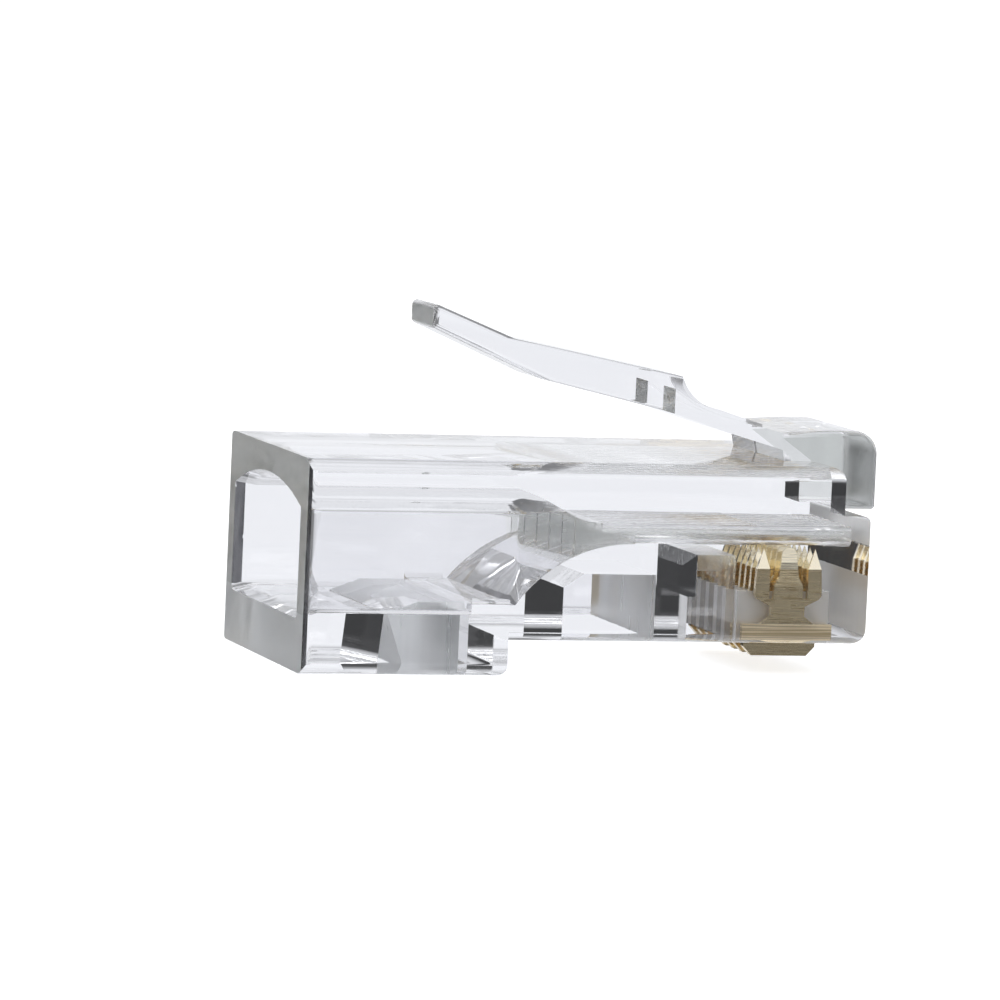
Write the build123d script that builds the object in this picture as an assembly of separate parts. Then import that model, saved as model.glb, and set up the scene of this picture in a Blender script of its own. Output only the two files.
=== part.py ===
from build123d import *
import os

# An 8-way modular plug, not yet crimped. +X points out of the plug's nose, +Y to the side, +Z to the latch.
# Lengths are in millimetres. X is 0 on the body's front face here, and the last step centres the plug.

# Housing, outside
width = 11.68
height = 8.0
body_length = 21.9
step_back = 1.04
step_height = 6.2
foot_front = -14.0
foot_drop = 1.35
top_edge_radius = 0.6
foot_edge_radius = 0.5
bottom_edge_radius = 0.35
rear_edge_radius = 0.25
front_bottom_radius = 0.6
front_top_radius = 0.25
step_top_radius = 0.45
foot_front_radius = 0.35

# Nose block that carries the latch
nose_width = 6.2
nose_rear = -2.7
nose_overhang = 1.13
nose_rise = 1.17
nose_root_rise = 1.06
nose_radius = 0.9
nose_edge_radius = 0.15
nose_side_radius = 0.2
nose_slope_length = 2.0
nose_sunk = 0.5

# Latch, a wide flexing plate that carries a narrow finger lever
root_thickness = 0.65
root_relief = 0.1
plate_rear = -7.05
plate_rear_top = 10.64
plate_rear_bottom = 9.7
plate_bend_rear = -5.95
plate_bend_rear_top = 9.95
plate_bend_front = -4.8
plate_bend_front_top = 9.53
plate_bend_front_bottom = 9.0
lever_width = 3.25
lever_tip = -16.2
lever_tip_top = 13.56
lever_tip_thickness = 0.94
lever_bend = -12.85
lever_bend_top = 12.24
lever_underbend = -11.9
lever_underbend_bottom = 10.78
lever_brow = -11.25
lever_brow_top = 11.95
lever_tip_radius = 0.2
lever_corner_radius = 0.25
lever_edge_radius = 0.12
scoop_start = -6.3
scoop_start_top = 11.0
scoop_middle = -5.7
scoop_middle_top = 10.13
scoop_foot = -4.75
scoop_foot_top = 9.76
ridge_end = -3.05
ridge_end_top = 9.24

# Cable cavity and its mouth
cavity_half_width = 4.6
cavity_floor = 2.2
front_floor = 2.6
cavity_side_top = 6.0
cavity_crown = 6.75
mouth_flare = 0.22
mouth_depth = 0.75
floor_corner_radius = 0.25

# Funnel that gathers the conductors
funnel_end = -11.0
ramp_radius = 5.86
ramp_end = -8.9
ceiling_ramp_start = -13.5
ceiling_ramp_end = -10.3
divider_start = -11.35

# Conductor channels
contact_count = 8
pitch = 1.016
channel_width = 0.92
channel_floor = 4.92
channel_crown = 5.7
channel_end = -0.35
channel_margin = 0.04

# Window and bar that grip the cable jacket
jacket_window_rear = -18.75
jacket_window_lean = 0.21
jacket_window_front = -15.25
jacket_window_half_width = 4.1
bar_side_gap = 0.18
jacket_bar_rear_gap = 0.4
jacket_bar_foot_gap = 1.1
jacket_bar_front_gap = 0.3
jacket_bar_base = 0.12
jacket_bar_lead = 1.2
jacket_bar_sink = 0.05

# Two pockets that core out the underside, one behind and one in front of a cross wall
pocket_half_width = 4.0
rear_pocket_rear = -11.6
rear_pocket_front = -8.0
rear_pocket_top = 3.77
rear_pocket_chamfer = 0.78
rear_pocket_chamfer_drop = 0.52
front_pocket_rear = -6.4
front_pocket_front = -4.9
front_pocket_top = 4.54
front_pocket_step = 0.33
front_pocket_step_top = 2.96

# The living web that the jacket bar hangs on
web_stub = 0.1
web_thickness = 0.35

# Contact blades and their slots
blade_thickness = 0.35
blade_fit = 0.03
blade_rear = -4.47
blade_front = -0.91
blade_bar_bottom = 1.42
blade_bar_top = 1.95
crest_drop = 0.69
crest_height = 0.35
crest_rear = -4.11
crest_taper = 0.33
neck_rear = -3.36
neck_flare = 0.38
neck_flare_height = 0.3
neck_shoulder = 2.62
prong_root = 2.9
fork_root = 2.9
prong_shoulder = 4.02
prong_tip = 4.8
middle_tip = 4.85
prong_width = 0.62
prong_rear = -4.02
prong_lean = 0.05
middle_root_width = 1.14
middle_shoulder = 3.41
middle_width = 0.78
middle_taper = 0.1
middle_step = 3.72
middle_bevel = 4.28
middle_bevel_thickness = 0.2
prong_edge = 0.06
prong_step = 0.02
crimp_travel = 1.15
slot_clearance = 0.04

# A cutter reaches this far past the face that it opens, and joined shapes lap this much
past = 0.5
lap = 0.1
near = 0.01

front_bottom = foot_drop
rear = -body_length
step_front = -step_back
jacket_bar_front = jacket_window_front - jacket_bar_front_gap
seam_bottom = height + nose_root_rise - root_thickness
ramp_centre = channel_floor - ramp_radius
cavity_end = ramp_end - (ramp_radius**2 - (front_floor - ramp_centre) ** 2) ** 0.5
blade_middle = (blade_rear + blade_front) / 2
prong_front = 2 * blade_middle - prong_rear


def outline(points, rounds=()):
    """A flat outline through points, with the listed corners rounded."""
    face = make_face(Polyline(*points, close=True))
    for corner, radius in rounds:
        nearest = face.vertices().sort_by_distance(Vector(*corner))[0]
        face = fillet(nearest, radius)
    return face


def side_slab(face, slab_width, y_middle=0.0):
    """An outline drawn in X and Z, made slab_width wide in Y."""
    return Pos(0, y_middle, 0) * extrude(Plane.XZ * face, amount=slab_width / 2, both=True)


def end_bar(face, x_start, x_end):
    """An outline drawn in Y and Z, carried along X."""
    return extrude(Plane.YZ.offset(x_start) * face, amount=x_end - x_start)


def block(x_start, x_end, half_width, z_start, z_end):
    """A plain rectangular block, centred in Y."""
    size = (x_end - x_start, 2 * half_width, z_end - z_start)
    middle = ((x_start + x_end) / 2, 0, (z_start + z_end) / 2)
    return Pos(*middle) * Box(*size)


def end_outline(z_bottom, bottom_radius):
    """The plug seen from behind: flat sides, rounded long edges."""
    half = width / 2
    points = [(-half, z_bottom), (half, z_bottom), (half, height), (-half, height)]
    rounds = [(p, bottom_radius) for p in points[:2]] + [(p, top_edge_radius) for p in points[2:]]
    return outline(points, rounds)


def outer_body():
    """The moulding's outside without its nose: foot, long body and stepped front."""
    foot_points = [(rear, 0), (foot_front, 0), (foot_front, height), (rear, height)]
    foot_side = outline(foot_points, [((foot_front, 0), foot_front_radius)])
    foot = end_bar(end_outline(0, foot_edge_radius), rear, foot_front)
    foot &= side_slab(foot_side, width)
    body_points = [
        (rear, front_bottom),
        (0, front_bottom),
        (0, step_height),
        (step_front, step_height),
        (step_front, height),
        (rear, height),
    ]
    body_rounds = [
        ((0, front_bottom), front_bottom_radius),
        ((0, step_height), front_top_radius),
        ((step_front, height), step_top_radius),
    ]
    body = end_bar(end_outline(front_bottom, bottom_edge_radius), rear, 0)
    body &= side_slab(outline(body_points, body_rounds), width)
    whole = foot + body
    half = width / 2
    plan_points = [(rear, -half), (past, -half), (past, half), (rear, half)]
    plan = outline(plan_points, [((rear, -half), rear_edge_radius), ((rear, half), rear_edge_radius)])
    return whole & extrude(plan, amount=height)


def nose():
    """The block over the front that the latch grows from, overhanging the front face."""
    top = height + nose_rise
    points = [
        (nose_rear, height + nose_root_rise),
        (nose_rear, seam_bottom),
        (nose_rear + root_relief, height),
        (nose_rear + root_relief, height - nose_sunk),
        (step_front - nose_sunk, height - nose_sunk),
        (step_front - nose_sunk, step_height),
        (nose_overhang, step_height),
        (nose_overhang, top),
        (nose_rear + nose_slope_length, top),
    ]
    rounds = [((nose_overhang, top), nose_radius), ((nose_overhang, step_height), nose_edge_radius)]
    block_shape = side_slab(outline(points, rounds), nose_width)
    front_edges = block_shape.faces().sort_by(Axis.X)[-1].edges().filter_by(Axis.Z)
    return fillet(front_edges, nose_side_radius)


def cavity_outline(grow=0.0, floor_height=cavity_floor):
    """The cable cavity seen from behind: flat floor, upright sides, flat arched top."""
    half = cavity_half_width + grow
    floor = floor_height - grow
    side_top = cavity_side_top + grow / 2
    crown = cavity_crown + grow
    left = (-half, side_top)
    right = (half, side_top)
    walls = Polyline(left, (-half, floor), (half, floor), right)
    face = make_face(walls + ThreePointArc(right, (0, crown), left))
    corners = face.vertices().sort_by(Axis.Y)[:2]
    return fillet(corners, floor_corner_radius)


def mouth():
    """The flared lead-in where the cable enters."""
    outer = Plane.YZ.offset(rear) * cavity_outline(mouth_flare)
    inner = Plane.YZ.offset(rear + mouth_depth) * cavity_outline()
    return loft([outer, inner])


def ramp_floor_height(x):
    """Height of the funnel's curved floor at x."""
    return ramp_centre + (ramp_radius**2 - (ramp_end - x) ** 2) ** 0.5


def funnel():
    """The space between the cavity and the channels: curved floor, sloping ceiling, closing sides."""
    start = cavity_end - 2 * lap
    foot_of_ramp = (cavity_end, front_floor)
    middle_x = (cavity_end + ramp_end) / 2
    ramp_middle = (middle_x, ramp_floor_height(middle_x))
    ramp_top = (ramp_end, channel_floor)
    ramp = ThreePointArc(foot_of_ramp, ramp_middle, ramp_top)
    front = Polyline(
        ramp_top,
        (channel_end, channel_floor),
        (channel_end, channel_crown),
        (ceiling_ramp_end, channel_crown),
    )
    along = (1, 0)
    ceiling_low = (ceiling_ramp_end, channel_crown)
    ceiling_high = (ceiling_ramp_start, cavity_crown + lap / 2)
    ceiling = Spline(ceiling_high, ceiling_low, tangents=(along, along))
    rest = Polyline(
        ceiling_high,
        (start, cavity_crown + lap / 2),
        (start, front_floor),
        foot_of_ramp,
    )
    side = side_slab(make_face(ramp + front + ceiling + rest), width)
    wide = cavity_half_width
    narrow = contact_count * pitch / 2 + channel_margin
    plan_points = [
        (start, -wide),
        (cavity_end, -wide),
        (funnel_end, -narrow),
        (divider_start + lap, -narrow),
        (divider_start + lap, narrow),
        (funnel_end, narrow),
        (cavity_end, wide),
        (start, wide),
    ]
    plan = extrude(outline(plan_points), amount=height)
    low = Part()
    for y_middle in contact_places():
        place = Pos(0, y_middle, 0)
        plan += place * block(divider_start, ceiling_ramp_end + lap, channel_width / 2, 0, height)
        low += place * block(ceiling_ramp_end, ramp_end, channel_width / 2, 0, (channel_floor + channel_crown) / 2)
    arch = end_bar(cavity_outline(), start, ceiling_ramp_end + lap)
    return (side & plan & arch) + (side & low)


def contact_places():
    """The middle of each contact, and of its channel, in Y."""
    return [(i - (contact_count - 1) / 2) * pitch for i in range(contact_count)]


def channel(y_middle):
    """One conductor channel, an oval bore."""
    middle = (channel_floor + channel_crown) / 2
    oval = Pos(y_middle, middle) * Ellipse(channel_width / 2, (channel_crown - channel_floor) / 2)
    return end_bar(oval, ceiling_ramp_end, channel_end)


def contact_slot(y_middle):
    """The slot of one contact: open below for the bar, narrower above for the prongs."""
    bar_rear = blade_rear - slot_clearance
    bar_front = blade_front + slot_clearance
    bar_roof = blade_bar_top + crimp_travel + slot_clearance
    prong_roof = middle_tip + crimp_travel + slot_clearance
    narrow_rear = prong_rear - slot_clearance
    narrow_front = prong_front + slot_clearance
    points = [
        (bar_rear, front_bottom - past),
        (bar_front, front_bottom - past),
        (bar_front, bar_roof),
        (narrow_front, bar_roof),
        (narrow_front, prong_roof),
        (narrow_rear, prong_roof),
        (narrow_rear, bar_roof),
        (bar_rear, bar_roof),
    ]
    return side_slab(outline(points), blade_thickness + 2 * blade_fit, y_middle)


def jacket_window():
    """The opening under the cavity for the jacket bar, its rear wall leaning forward."""
    lean = jacket_window_lean / cavity_floor
    top = cavity_floor + past
    points = [
        (jacket_window_rear - lean * past, -past),
        (jacket_window_front, -past),
        (jacket_window_front, top),
        (jacket_window_rear + lean * top, top),
    ]
    return side_slab(outline(points), 2 * jacket_window_half_width)


def rear_pocket():
    """The pocket behind the cross wall, its rear top corner cut off."""
    corner = rear_pocket_top - rear_pocket_chamfer_drop
    points = [
        (rear_pocket_rear, 0),
        (rear_pocket_front, 0),
        (rear_pocket_front, rear_pocket_top),
        (rear_pocket_rear + rear_pocket_chamfer, rear_pocket_top),
        (rear_pocket_rear, corner),
    ]
    return side_slab(outline(points), 2 * pocket_half_width)


def front_pocket():
    """The pocket in front of the cross wall, deeper towards the rear near its mouth."""
    stepped = front_pocket_rear - front_pocket_step
    points = [
        (stepped, 0),
        (front_pocket_front, 0),
        (front_pocket_front, front_pocket_top),
        (front_pocket_rear, front_pocket_top),
        (front_pocket_rear, front_pocket_step_top),
        (stepped, front_pocket_step_top),
    ]
    return side_slab(outline(points), 2 * pocket_half_width)


def jacket_web_stub():
    """The housing's end of the web that the jacket bar hangs on."""
    half = jacket_window_half_width - bar_side_gap
    start = jacket_window_front - web_stub
    return block(start, jacket_window_front + lap, half, front_floor - web_thickness, front_floor)


def housing():
    """The clear moulding, without the parts of it that flex."""
    shape = outer_body() + nose()
    shape -= end_bar(cavity_outline(), rear - past, jacket_window_front)
    shape -= end_bar(cavity_outline(floor_height=front_floor), rear - past, cavity_end)
    shape -= mouth()
    shape -= funnel()
    shape -= jacket_window()
    shape -= rear_pocket()
    shape -= front_pocket()
    for y_middle in contact_places():
        shape -= channel(y_middle)
        shape -= contact_slot(y_middle)
    return shape + jacket_web_stub()


def latch_plate():
    """The wide thin plate that flexes, with its two rear shoulders."""
    points = [
        (nose_rear, seam_bottom),
        (nose_rear, height + nose_root_rise),
        (plate_bend_front, plate_bend_front_top),
        (plate_bend_rear, plate_bend_rear_top),
        (plate_rear, plate_rear_top),
        (plate_rear, plate_rear_bottom),
        (plate_bend_front, plate_bend_front_bottom),
    ]
    return side_slab(outline(points), nose_width)


def lever_outline():
    """The finger lever from the side: bent arm, thick middle, hollow scoop down to a low ridge on the plate."""
    tip_bottom = lever_tip_top - lever_tip_thickness
    scoop_high = (scoop_start, scoop_start_top)
    scoop_low = (scoop_foot, scoop_foot_top)
    scoop = ThreePointArc(scoop_high, (scoop_middle, scoop_middle_top), scoop_low)
    rest = Polyline(
        scoop_low,
        (ridge_end, ridge_end_top),
        (ridge_end, ridge_end_top - root_thickness / 2),
        (plate_rear, plate_rear_bottom),
        (lever_underbend, lever_underbend_bottom),
        (lever_tip, tip_bottom),
        (lever_tip, lever_tip_top),
        (lever_bend, lever_bend_top),
        (lever_brow, lever_brow_top),
        scoop_high,
    )
    face = make_face(scoop + rest)
    tip_corners = face.vertices().sort_by(Axis.X)[:2]
    return fillet(tip_corners, lever_tip_radius)


def latch_lever():
    """The whole latch: flexing plate, thick middle and finger lever."""
    half = lever_width / 2
    lever = side_slab(lever_outline(), lever_width)
    tip_edges = lever.faces().sort_by(Axis.X)[0].edges().filter_by(Axis.Z)
    lever = fillet(tip_edges, lever_corner_radius)
    long_edges = [
        edge
        for edge in lever.edges()
        if abs(abs(edge.center().Y) - half) < near
        and edge.bounding_box().max.X < scoop_start + near
        and edge.bounding_box().size.X > 5 * near
    ]
    return fillet(long_edges, lever_edge_radius) + latch_plate()


def jacket_bar():
    """The bar that is driven into the cable jacket, with its web at the front."""
    seam = jacket_window_front - web_stub
    bar_rear = jacket_window_rear + jacket_bar_rear_gap
    points = [
        (jacket_window_rear + jacket_bar_foot_gap, jacket_bar_base),
        (jacket_bar_front, jacket_bar_base),
        (jacket_bar_front, front_floor - web_thickness),
        (seam, front_floor - web_thickness),
        (seam, front_floor),
        (bar_rear + jacket_bar_lead, front_floor),
        (bar_rear, cavity_floor - jacket_bar_sink),
    ]
    return side_slab(outline(points), 2 * (jacket_window_half_width - bar_side_gap))


def mirrored(points):
    """The points and, in reverse order, their mirror images about the blade's middle."""
    return points + [(2 * blade_middle - x, z) for x, z in reversed(points)]


def bevelled(stamped, bevel_start, bevel_thickness, tip, y_middle):
    """A stamped outline whose two flats close in from bevel_start up to a narrow edge at the tip."""
    bottom = front_bottom - crest_drop
    half = blade_thickness / 2
    bevel_half = bevel_thickness / 2
    edge_half = prong_edge / 2
    points = [
        (-half, bottom),
        (half, bottom),
        (half, bevel_start[0]),
        (bevel_half, bevel_start[1]),
        (edge_half, tip),
        (-edge_half, tip),
        (-bevel_half, bevel_start[1]),
        (-half, bevel_start[0]),
    ]
    ends = end_bar(outline(points), blade_rear, blade_front)
    return Pos(0, y_middle, 0) * (side_slab(stamped, blade_thickness) & ends)


def blade_outline():
    """The blade without its middle prong: crest, cross bar, flared neck and the two outer prongs."""
    crest = front_bottom - crest_drop
    prong_inner = prong_rear + prong_width
    points = [
        (crest_rear + crest_taper, crest),
        (crest_rear, crest + crest_height),
        (crest_rear, blade_bar_bottom),
        (blade_rear, blade_bar_bottom),
        (blade_rear, blade_bar_top),
        (neck_rear - neck_flare, blade_bar_top),
        (neck_rear, blade_bar_top + neck_flare_height),
        (neck_rear, neck_shoulder),
        (prong_rear + 2 * prong_lean, prong_root),
        (prong_rear, prong_root + 3 * prong_lean),
        (prong_rear + prong_lean, prong_shoulder),
        (prong_rear + prong_width / 2, prong_tip),
        (prong_inner - prong_lean, prong_shoulder),
        (prong_inner - prong_lean, fork_root),
    ]
    return outline(mirrored(points))


def middle_prong_outline():
    """The middle prong: slightly tapered, with a round tip."""
    tip_radius = middle_width / 2 - middle_taper
    points = [
        (blade_middle - middle_root_width / 2, fork_root - lap),
        (blade_middle - middle_root_width / 2, middle_shoulder),
        (blade_middle - middle_width / 2, middle_step),
        (blade_middle - tip_radius, middle_tip - tip_radius),
    ]
    tip = Pos(blade_middle, middle_tip - tip_radius) * Circle(tip_radius)
    return outline(mirrored(points)) + tip


def contact(y_middle):
    """One stamped blade with bevelled prongs."""
    outer = (prong_shoulder, prong_shoulder + prong_step)
    blade = bevelled(blade_outline(), outer, blade_thickness - prong_step, prong_tip, y_middle)
    inner = (middle_shoulder, middle_bevel)
    middle = bevelled(middle_prong_outline(), inner, middle_bevel_thickness, middle_tip, y_middle)
    return blade + middle


def placed(shape):
    """The shape moved so that the plug's whole length is centred on X = 0."""
    return Pos(-(rear + nose_overhang) / 2, 0, 0) * shape


def main():
    os.makedirs("parts", exist_ok=True)
    pieces = {
        "housing": housing(),
        "latch_lever": latch_lever(),
        "jacket_strain_relief": jacket_bar(),
    }
    for number, y_middle in enumerate(contact_places(), start=1):
        pieces[f"contact_{number}"] = contact(y_middle)
    for name, shape in pieces.items():
        export_step(placed(shape), f"parts/{name}.step")


main()
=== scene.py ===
import math
import bmesh
import bpy
import numpy as np
from mathutils import Matrix, Vector


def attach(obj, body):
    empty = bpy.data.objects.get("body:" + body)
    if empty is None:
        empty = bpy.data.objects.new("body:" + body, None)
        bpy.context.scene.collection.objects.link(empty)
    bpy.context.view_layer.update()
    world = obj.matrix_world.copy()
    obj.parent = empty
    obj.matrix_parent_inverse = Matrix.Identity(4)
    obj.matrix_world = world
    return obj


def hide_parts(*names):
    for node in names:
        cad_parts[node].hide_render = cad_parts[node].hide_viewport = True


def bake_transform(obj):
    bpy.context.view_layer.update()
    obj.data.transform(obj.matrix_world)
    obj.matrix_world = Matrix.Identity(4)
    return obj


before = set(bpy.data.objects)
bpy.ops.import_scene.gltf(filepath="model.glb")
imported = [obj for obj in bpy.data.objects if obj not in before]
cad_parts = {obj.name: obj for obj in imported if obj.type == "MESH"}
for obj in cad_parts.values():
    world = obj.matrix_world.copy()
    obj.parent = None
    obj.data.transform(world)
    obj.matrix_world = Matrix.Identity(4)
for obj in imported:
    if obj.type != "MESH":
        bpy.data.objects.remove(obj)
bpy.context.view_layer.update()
print("stage: frame loaded,", len(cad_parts), "nodes")

mm = 0.001
scene = bpy.context.scene
scene.view_settings.view_transform = "Standard"


# a wire is one output socket of a shader node, and sums and products of wires add their Math nodes
class Wire:
    def __init__(self, tree, socket=None):
        self.tree = tree
        self.socket = socket

    # any node, from its type, its settings, which are set first, and its sockets' values or links
    def node(self, kind, settings=None, inputs=None, output=0):
        made = self.tree.nodes.new(kind)
        for name, value in (settings or {}).items():
            setattr(made, name, value)
        for key, value in (inputs or {}).items():
            if isinstance(value, Wire):
                self.tree.links.new(value.socket, made.inputs[key])
            else:
                made.inputs[key].default_value = value
        return Wire(self.tree, made.outputs[output] if made.outputs else None)

    def outs(self):
        return {o.name: Wire(self.tree, o) for o in self.socket.node.outputs}

    def math(self, operation, first, second=0.0, third=0.0):
        return self.node("ShaderNodeMath", {"operation": operation}, {0: first, 1: second, 2: third})

    def absolute(self):
        return self.math("ABSOLUTE", self)

    def larger(self, other):
        return self.math("MAXIMUM", self, other)

    def __add__(self, other):
        return self.math("ADD", self, other)

    def __radd__(self, other):
        return self.math("ADD", other, self)

    def __sub__(self, other):
        return self.math("SUBTRACT", self, other)

    def __rsub__(self, other):
        return self.math("SUBTRACT", other, self)

    def __mul__(self, other):
        return self.math("MULTIPLY", self, other)

    def __rmul__(self, other):
        return self.math("MULTIPLY", other, self)

    def __truediv__(self, other):
        return self.math("DIVIDE", self, other)

    def clamped(self):
        return self.node("ShaderNodeClamp", inputs={"Value": self})

    def over(self, low, high):
        return ((self - low) / (high - low)).clamped()

    def mixed(self, first, second):
        return self.node("ShaderNodeMix", {"data_type": "RGBA"}, {0: self, 6: first, 7: second}, 2)

    def noise(self, scale, detail=2.0, stretch=(1, 1, 1), rough=0.5):
        where = self.node("ShaderNodeTexCoord", output=3)
        placed = self.node("ShaderNodeMapping", inputs={"Vector": where, "Scale": stretch})
        sizes = {"Vector": placed, "Scale": scale, "Detail": detail, "Roughness": rough}
        return self.node("ShaderNodeTexNoise", inputs=sizes)

    def place(self):
        where = self.node("ShaderNodeTexCoord", output=3)
        return list(self.node("ShaderNodeSeparateXYZ", inputs={0: where}).outs().values())


def newMaterial(name):
    material = bpy.data.materials.new(name)
    material.use_nodes = True
    material.node_tree.nodes.clear()
    return material, Wire(material.node_tree)


def finishMaterial(wire, surface):
    wire.node("ShaderNodeOutputMaterial", inputs={"Surface": surface})


# camera: the photo's angle, worked out from the plug's known width and height
camera = {
    "aim": (-1.015 * mm, 0, 5.0 * mm),
    "azimuth": -16.971,
    "elevation": 5.561,
    "roll": 2.598,
    "distance": 284.1 * mm,
    "lens": 270,
    "shift": (-0.03463, 0.02755),
}


def makeCamera(s):
    az, el, roll = (math.radians(s[k]) for k in ("azimuth", "elevation", "roll"))
    back = Vector((math.sin(az) * math.cos(el), -math.cos(az) * math.cos(el), math.sin(el)))
    right = Vector((math.cos(az), math.sin(az), 0))
    up = back.cross(right)
    rolledRight = math.cos(roll) * right + math.sin(roll) * up
    rolledUp = math.cos(roll) * up - math.sin(roll) * right
    data = bpy.data.cameras.new("camera")
    data.lens = s["lens"]
    data.sensor_width = 36
    data.shift_x, data.shift_y = s["shift"]
    data.clip_start = 10 * mm
    data.clip_end = 10
    made = bpy.data.objects.new("camera", data)
    scene.collection.objects.link(made)
    turned = Matrix((rolledRight, rolledUp, back)).transposed().to_4x4()
    made.matrix_world = Matrix.Translation(Vector(s["aim"]) + s["distance"] * back) @ turned
    scene.camera = made


makeCamera(camera)
print("stage: camera placed")

# studio: what the clear plastic shows is a grey room with a lit sheet below, a lit window behind, dark
# flags and a lit panel over the camera
studio = {
    "window": (17, 24, 6),  # azimuth from +Y towards +X, half width, softness, in degrees
    # azimuth, half width, softness, lowest and highest elevation, brightness
    "patches": [
        (-18, 11, 4, -10, 10, 0.045),
        (180, 30, 8, -7, 7, 0.08),
        (54, 24, 3, -42, 34, 0.2),
        (119, 22, 8, -36, -8, 0.08),
        (165, 50, 12, 16, 80, 1.0),
    ],
    "room": 0.36,
    "band": (17, 7),  # elevation up to which the window reaches, softness, in degrees
    "sheet": (-15, 5),
    "sheetShade": 0.86,
    "sky": 0.62,
    "tint": (0.955, 0.968, 1.0, 1),
    "fill": 0.55,
    "lamps": {  # place in metres, power in watts
        "lamp_above": [(-0.12, 0.1, 0.4), 0.55],
        "lamp_left": [(-0.3, -0.25, 0.25), 0.275],
    },
    "lampSize": 0.3,
    "floorGlow": 0.62,
    "floorColour": (0.8, 0.8, 0.8, 1),
    "floorHalf": 2.0,
    "floorDrop": 0.02,  # in mm
}


def makeWorld(s):
    world = bpy.data.worlds.new("studio")
    scene.world = world
    world.use_nodes = True
    world.node_tree.nodes.clear()
    w = Wire(world.node_tree)
    where = w.node("ShaderNodeTexCoord", output=0)
    outs = w.node("ShaderNodeLightPath").outs()
    x, y, z = w.node("ShaderNodeSeparateXYZ", inputs={0: where}).outs().values()
    azimuth = w.math("ARCTAN2", x, y) * (180 / math.pi)
    elevation = w.math("ARCSINE", z) * (180 / math.pi)

    def strip(middle, half, soft):
        away = w.math("WRAP", azimuth - middle, 180.0, -180.0).absolute()
        return 1 - away.over(half - soft, half + soft)

    level = s["room"] + strip(*s["window"]) * (1 - s["room"])
    reach, soft = s["band"]
    level = level + (elevation - reach).over(-soft, soft) * (s["sky"] - level)
    low, soft = s["sheet"]
    level = level + (low - elevation).over(-soft, soft) * (s["sheetShade"] - level)
    for middle, half, soft, bottom, top, shade in s["patches"]:
        inReach = elevation.over(bottom - 3, bottom + 2) * (1 - elevation.over(top - 2, top + 3))
        level = level + strip(middle, half, soft) * inReach * (shade - level)
    seen = outs["Is Glossy Ray"].larger(outs["Is Transmission Ray"])
    lit = seen.larger(outs["Is Camera Ray"])
    shade = 1 + seen * (level - 1)
    strength = s["fill"] + lit * (shade - s["fill"])
    colour = seen.mixed((1, 1, 1, 1), s["tint"])
    glow = w.node("ShaderNodeBackground", inputs={"Color": colour, "Strength": strength})
    w.node("ShaderNodeOutputWorld", inputs={"Surface": glow})


def makeFloor(s):
    material, w = newMaterial("floor_white")
    outs = w.node("ShaderNodeLightPath").outs()
    matte = w.node("ShaderNodeBsdfDiffuse", inputs={"Color": s["floorColour"]})
    glow = w.node("ShaderNodeEmission", inputs={"Strength": s["floorGlow"]})
    shown = w.node("ShaderNodeAddShader", inputs={0: matte, 1: glow})
    through = w.node("ShaderNodeBsdfTransparent")
    seen = outs["Is Glossy Ray"].larger(outs["Is Transmission Ray"])
    first = w.node("ShaderNodeMixShader", inputs={0: outs["Is Camera Ray"], 1: matte, 2: shown})
    finishMaterial(w, w.node("ShaderNodeMixShader", inputs={0: seen, 1: first, 2: through}))
    half = s["floorHalf"]
    corners = [(-half, -half, 0), (half, -half, 0), (half, half, 0), (-half, half, 0)]
    mesh = bpy.data.meshes.new("floor")
    mesh.from_pydata(corners, [], [(0, 1, 2, 3)])
    floor = bpy.data.objects.new("floor", mesh)
    floor.location.z = -s["floorDrop"] * mm
    mesh.materials.append(material)
    scene.collection.objects.link(floor)


def makeLamp(name, place, power, size):
    data = bpy.data.lights.new(name, "AREA")
    data.shape = "DISK"
    data.size = size
    data.energy = power
    lamp = bpy.data.objects.new(name, data)
    lamp.location = place
    lamp.rotation_euler = (Vector((0, 0, 0.005)) - Vector(place)).to_track_quat("-Z", "Y").to_euler()
    lamp.visible_camera = False
    scene.collection.objects.link(lamp)


makeWorld(studio)
makeFloor(studio)
for name, (place, power) in studio["lamps"].items():
    makeLamp(name, place, power, studio["lampSize"])
cycles = scene.cycles  # clear walls behind clear walls need many bounces
cycles.max_bounces = 32
cycles.transmission_bounces = 32
cycles.glossy_bounces = 24
cycles.transparent_max_bounces = 32
print("stage: studio built")

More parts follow.
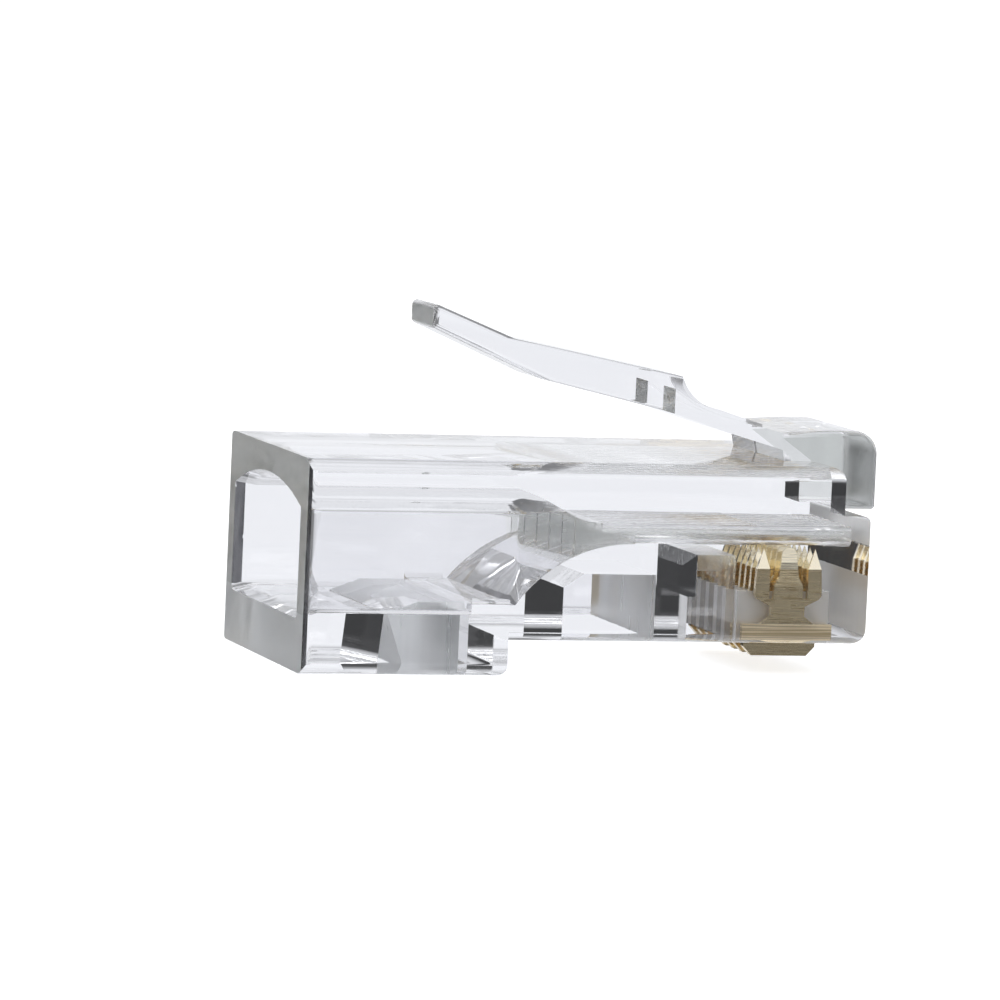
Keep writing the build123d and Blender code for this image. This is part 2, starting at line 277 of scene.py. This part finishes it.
# clear plastic, in the finishes that the mould leaves on it, some also tinted grey or near-black as
# painted shade and one lighter as painted light
plastic = {
    "ior": 1.586,
    "shine": {"painted_shade": 0.1},  # the others have 0.5
    "shadow": (0.9, 0.91, 0.93, 1),  # colour of the light that passes into the shadow
    "spots": (0.3, 0.7),
    "finishes": {
        # colours of the low and high spots, roughness of both, bump depth in mm, fineness and stretch of
        # the pattern, cloudiness
        "polished": [(0.955, 0.957, 0.975), (0.975, 0.975, 0.99), 0.0, 0.0, 0.0004, 9000, (0.02, 1, 1), 0],
        # matt and rough, as a frosted face is; its grey colour is painted shade
        "frosted_and_shaded": [(0.46, 0.48, 0.46), (0.71, 0.73, 0.71), 0.28, 0.5, 0.003, 2600, (1, 0.4, 1), 0.05],
        # matt; a lighter colour than the bands above, painted light on the lowest band of the rear face
        "lighter_band": [(0.84, 0.86, 0.85), (0.95, 0.96, 0.95), 0.3, 0.44, 0.0004, 2600, (1, 0.5, 1), 0.1],
        # near-black colour: painted shade standing for the dark refraction at the far rear flare and the
        # rounded near rear edge
        "painted_shade": [(0.01, 0.01, 0.012), (0.05, 0.05, 0.055), 0.08, 0.2, 0.001, 4200, (1, 1, 0.08), 0],
        "streaked": [(0.72, 0.74, 0.73), (0.88, 0.88, 0.87), 0.26, 0.42, 0.0008, 2600, (1, 1, 0.06), 0.1],
        "satin": [(0.90, 0.91, 0.90), (0.96, 0.96, 0.95), 0.16, 0.3, 0.0008, 4000, (0.1, 1, 1), 0.05],
        "hazed": [(0.93, 0.92, 0.90), (0.98, 0.97, 0.95), 0.3, 0.42, 0.0004, 1600, (1, 1, 0.3), 0.38],
        # grey colour: painted shade on the front face of the nose
        "shaded_nose": [(0.80, 0.82, 0.81), (0.88, 0.90, 0.89), 0.3, 0.4, 0.0004, 1600, (1, 1, 0.4), 0.05],
        # grey colour: painted shade on the nose's side walls and one rear-facing face higher up
        "painted_grey_shade": [(0.56, 0.58, 0.57), (0.63, 0.65, 0.64), 0.12, 0.2, 0.0003, 1600, (1, 1, 0.4), 0],
    },
}


def makePlastic(name, s):
    low, high, smooth, rough, depth, scale, stretch, cloud = s["finishes"][name]
    material, w = newMaterial("clear_plastic_" + name)
    grain = w.noise(scale, 3, stretch)
    spots = grain.over(*s["spots"])
    bump = w.node("ShaderNodeBump", inputs={"Strength": 1.0, "Distance": depth * mm, "Height": grain})
    sockets = {
        "Base Color": spots.mixed((*low, 1), (*high, 1)),
        "Roughness": smooth + spots * (rough - smooth) if rough else 0.0,
        "IOR": s["ior"],
        "Specular IOR Level": s["shine"].get(name, 0.5),
        "Transmission Weight": 1 - cloud,
        "Normal": bump,
    }
    clear = w.node("ShaderNodeBsdfPrincipled", inputs=sockets)
    through = w.node("ShaderNodeBsdfTransparent", inputs={"Color": s["shadow"]})
    shadow = w.node("ShaderNodeLightPath").outs()["Is Shadow Ray"]
    surface = w.node("ShaderNodeMixShader", inputs={0: shadow, 1: clear, 2: through})
    finishMaterial(w, surface)
    return material


def makeJoin():
    # the faces where two parts of the one moulding meet: light goes straight on there
    material, w = newMaterial("moulding_join")
    finishMaterial(w, w.node("ShaderNodeBsdfPrincipled", inputs={"Alpha": 0.0}))
    return material


clearPlastics = [makePlastic(name, plastic) for name in plastic["finishes"]] + [makeJoin()]

# gold-plated blades, with streaks along them and a banded cross bar, whose dark ends are painted shade;
# the bevelled tips carry a painted highlight
gold = {
    "bright": (1.0, 0.85, 0.56, 1),
    # dark end of the streaks and bands: the streak pattern is the plating's own, its darkness is painted
    # shade for the dark surroundings the blades reflect
    "deepShade": (0.43, 0.34, 0.20, 1),
    "barColour": (1.0, 0.86, 0.62, 1),  # the cross bar
    "barTop": 1.95,  # in mm
    "crestTop": 1.4,
    "prongShoulder": 4.03,  # the bevelled tips start here
    # painted highlight: the bevelled tips are painted paler, for the bright reflection they catch
    "tipHighlight": (1.0, 0.91, 0.70, 1),
    "bandScale": 6500,
    "bandRange": (0.39, 0.53),  # the part of the noise that runs from deep to the bar's colour
    "blotchScale": 1700,
    "blotchShare": 0.35,
    "shadeRange": (0.38, 0.58),
    "roughness": (0.14, 0.34),
    "barRoughness": 0.46,
    "lineScale": 21000,
    "lineDepth": 0.003,
}


def makeGold(s):
    material, w = newMaterial("brushed_gold")
    z = w.place()[2] * 1000
    belowBarTop = 1 - z.over(s["barTop"] - 0.04, s["barTop"] + 0.04)
    bar = belowBarTop * z.over(s["crestTop"] - 0.05, s["crestTop"])
    tip = z.over(s["prongShoulder"] - 0.01, s["prongShoulder"] + 0.01)
    bands = w.noise(s["bandScale"], 2, (0.02, 0.02, 1)).over(*s["bandRange"])
    brushed = w.noise(s["lineScale"], 4, (0.05, 1, 1))
    blotches = w.noise(s["blotchScale"], 3)
    share = s["blotchShare"]
    shade = (brushed * (1 - share) + blotches * share).over(*s["shadeRange"])
    colour = bar.mixed(shade.mixed(s["deepShade"], s["bright"]), bands.mixed(s["deepShade"], s["barColour"]))
    # the bevelled tips take the painted highlight colour; their lower roughness is their own
    colour = tip.mixed(colour, s["tipHighlight"])
    smooth, rough = s["roughness"]
    level = rough - shade * (rough - smooth)
    level = level + bar * (s["barRoughness"] - level)
    level = level * (1 - tip * 0.5)
    depth = s["lineDepth"] * mm
    bump = w.node("ShaderNodeBump", inputs={"Strength": 0.7, "Distance": depth, "Height": brushed})
    sockets = {"Base Color": colour, "Metallic": 1.0, "Roughness": level, "Normal": bump}
    finishMaterial(w, w.node("ShaderNodeBsdfPrincipled", inputs=sockets))
    return material


brushedGold = makeGold(gold)
for number in range(1, 9):
    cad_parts[f"contact_{number}"].material_slots[0].material = brushedGold
print("stage: materials made")

# clear pieces: copies of the solids' meshes, merged, with the joins marked so that they don't show
joins = [(7.685, 8.41, 9.06), (-4.965, 2.25, 2.6)]  # x, lowest and highest z, in mm
joinGap = 0.002  # in mm
mergeWithin = 0.0004  # in mm
sharpAngle = math.radians(24)

# the contacts' slots in the housing, in mm
slots = {
    "x": (5.87, 9.52),
    "bottom": 1.36,
    "shoulder": 3.14,
    "roof": 6.2,
    "channels": (4.93, 5.69),
    "half": 0.206,
    "pitch": 1.016,
    "outermost": 3.2,
}

# the faces of each finish: lowest and highest corner of the face's middle, and the way it faces, in mm
finishPlaces = {
    # matt faces with painted shade: the upper bands of the rear face and a rear face higher up
    "frosted_and_shaded": [
        [(-11.6, -6, 5.9), (-11.4, 6, 9), (-1, 0, 0)],
        [(-11.6, -6, 2.2), (-11.4, 6, 5.9), (-1, 0, 0)],
        [(-5.9, -2, 11), (-5.5, 2, 14), (-1, 0, 0)],
    ],
    # painted light: the lowest band of the rear face, lighter than the bands above
    "lighter_band": [
        [(-11.6, -6, -1), (-11.4, 6, 2.2), (-1, 0, 0)],
    ],
    # painted shade: the far flare of the rear wall and the rounded near edge of the rear face
    "painted_shade": [
        [(-11.5, 4.55, 2.2), (-11.2, 4.9, 6.2), (0, -1, 0)],
        [(-11.52, -5.86, 0.3), (-11.35, -5.6, 8), None],
    ],
    "streaked": [
        [(-8.2, -4, 0), (-4.9, 4, 2.8), (-1, 0, 0)],
        [(-5.3, -4, 0), (-5.0, 4, 2.8), (1, 0, 0)],
        [(-8.2, -4, 0), (-4.9, 4, 2.8), (0, -1, 0)],
        [(-8.2, -4, 0), (-4.9, 4, 2.8), (0, 1, 0)],
        [(2.3, -4.2, 0), (2.5, 4.2, 4), (-1, 0, 0)],
    ],
    "satin": [
        [(-1.1, -4.2, 4.2), (10.2, 4.2, 6.7), None],
    ],
    # painted shade: the front face of the nose
    "shaded_nose": [
        [(11.4, -3.2, 6), (11.6, 3.2, 9.2), (1, 0, 0)],
    ],
    # painted shade: the nose's side walls and one rear-facing face higher up
    "painted_grey_shade": [
        [(8.6, -3.2, 6.1), (11.4, -3.0, 9.3), (0, -1, 0)],
        [(8.6, 3.0, 6.1), (11.4, 3.2, 9.3), (0, 1, 0)],
        [(3.2, -3.2, 9.6), (3.5, 3.2, 10.8), (-1, 0, 0)],
    ],
    "hazed": [
        [(7.2, -1.7, 8.9), (7.5, 1.7, 9.4), (1, 0, 0)],
        [(5.87, -3.2, 1.36), (9.52, 3.2, 3.14), None],
        [(10.3, -5.9, 1), (10.5, 5.9, 3.95), (1, 0, 0)],
        [(10.3, -5.9, 5.1), (10.5, 5.9, 6.3), (1, 0, 0)],
    ],
}


def finishOf(middle, normal):
    for index, name in enumerate(plastic["finishes"]):
        for low, high, facing in finishPlaces.get(name, []):
            inside = all(low[i] < middle[i] < high[i] for i in range(3))
            if inside and (facing is None or normal.dot(Vector(facing)) > 0.9):
                return index
    return 0


def onJoin(middle, normal):
    for x, low, high in joins:
        if abs(middle.x - x) < 0.001 and abs(normal.x) > 0.99 and low < middle.z < high:
            return True
    return False


# a wall of a contact's slot: the blades are a press fit, so light goes straight on there too
def onPressFit(middle):
    low, high = slots["x"]
    across = (middle.y / slots["pitch"]) % 1 - 0.5
    inSlot = low < middle.x < high and abs(across) * slots["pitch"] < slots["half"]
    inReach = slots["bottom"] < middle.z < slots["roof"]
    inChannel = slots["channels"][0] < middle.z < slots["channels"][1]
    hazed = middle.z < slots["shoulder"] and abs(middle.y) < slots["outermost"]
    return inSlot and inReach and not inChannel and not hazed


# cuts are flat planes, each given by its axis and its places along it: a finish ends on them, and they
# cross the latch's root and the bar's web
def clearCopy(node, name, cuts=()):
    near = mergeWithin * mm
    body = bmesh.new()
    body.from_mesh(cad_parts[node].data)
    bmesh.ops.remove_doubles(body, verts=body.verts, dist=near)
    for axis, places in cuts:
        across = Vector(axis)
        for place in places:
            every = body.verts[:] + body.edges[:] + body.faces[:]
            point = across * place * mm
            bmesh.ops.bisect_plane(body, geom=every, plane_co=point, plane_no=across, dist=near)
    joined = set()
    for face in body.faces:
        face.smooth = True
        middle = face.calc_center_median() / mm
        if onJoin(middle, face.normal):
            joined.update(face.verts)
            face.material_index = len(clearPlastics) - 1
        elif onPressFit(middle):
            face.material_index = len(clearPlastics) - 1
        else:
            face.material_index = finishOf(middle, face.normal)
    for edge in body.edges:
        edge.smooth = len(edge.link_faces) == 2 and edge.calc_face_angle(0) < sharpAngle
    if node != "housing":  # the two sides of a join stand a hair apart, so a ray meets each of them
        for vert in joined:
            vert.co.x -= joinGap * mm
    mesh = bpy.data.meshes.new(name)
    body.to_mesh(mesh)
    body.free()
    for material in clearPlastics:
        mesh.materials.append(material)
    made = bpy.data.objects.new(name, mesh)
    scene.collection.objects.link(made)
    modifier = made.modifiers.new("flat faces stay flat", "WEIGHTED_NORMAL")
    modifier.keep_sharp = True
    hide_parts(node)
    counts = np.bincount([p.material_index for p in mesh.polygons], minlength=len(clearPlastics))
    print("stage: clear piece", name, len(mesh.polygons), "faces, by finish:", *counts)
    return made


alongX = (1, 0, 0)
upZ = (0, 0, 1)
finishEnds = [(upZ, (2.2, 3.14, 3.95, 5.1, 5.9)), (alongX, (-11.15,))]
body = clearCopy("housing", "clear_housing", finishEnds)
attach(body, "housing")
# the latch flexes over its root, and the bar over its web
latch = clearCopy("latch_lever", "clear_latch", [(alongX, np.linspace(6.0, 7.5, 6))])
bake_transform(latch)
jacketBar = clearCopy("jacket_strain_relief", "clear_jacket_bar", [(alongX, (-5.03, -5.12))])
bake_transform(jacketBar)

print("stage: done")
